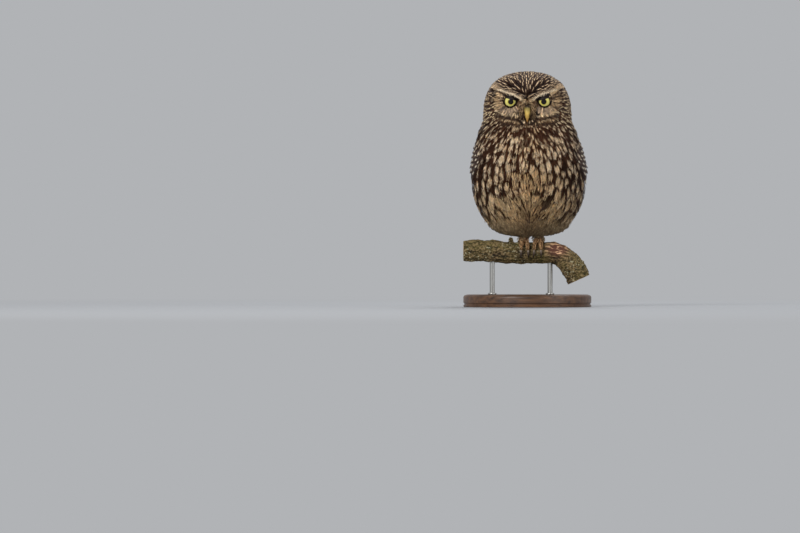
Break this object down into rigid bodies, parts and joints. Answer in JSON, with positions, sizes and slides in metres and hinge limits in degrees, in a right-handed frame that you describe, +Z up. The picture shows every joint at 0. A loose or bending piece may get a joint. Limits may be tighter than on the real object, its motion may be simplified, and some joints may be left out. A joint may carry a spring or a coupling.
{
  "type": "little owl",
  "caption": "Life-size model of a little owl that leans forward and frowns at the viewer, gripping a short cut branch held over a round base by short rods.",
  "frame": {"origin": "centre of the round base's underside", "axes": "+Z up; -Y the way the owl faces, so +X is its own left side; the branch lies along X under it"},
  "size_m": [0.124, 0.1751, 0.228],
  "materials": {
    "feathers_head": "short soft feathers, dark brown with cream streaks",
    "feathers_body": "soft lax feathers, cream to grey-buff with dark brown streaks",
    "feathers_wing": "firm feathers, dark brown with round white spots and bars",
    "feathers_tail": "firm feathers, brown with pale bars",
    "feathers_leg": "short dense feathers, warm buff",
    "eye": "yellow iris round a black pupil, wet gloss",
    "bill_horn": "smooth horn, dull yellow",
    "claw_horn": "smooth horn, pale at the root and dark at the tip",
    "bark": "rough bark with green-grey algae and pale lichen",
    "base_wood": "turned hardwood, satin varnish",
    "rod_steel": "brushed"
  },
  "bodies": {
    "root": {"bill_lower": "bill_horn", "bill_upper": "bill_horn", "claw_left_hind": "claw_horn", "claw_left_inner": "claw_horn", "claw_left_middle": "claw_horn", "claw_left_outer": "claw_horn", "claw_right_hind": "claw_horn", "claw_right_inner": "claw_horn", "claw_right_middle": "claw_horn", "claw_right_outer": "claw_horn", "eye_left": "eye", "eye_right": "eye", "foot_left": "feathers_leg", "foot_right": "feathers_leg", "head": "feathers_head", "leg_left": "feathers_leg", "leg_right": "feathers_leg", "neck": "feathers_head", "perch": "bark", "stand_base": "base_wood", "stand_rod_1": "rod_steel", "stand_rod_2": "rod_steel", "tail": "feathers_tail", "torso": "feathers_body", "wing_left": "feathers_wing", "wing_right": "feathers_wing"}
  },
  "joints": []
}
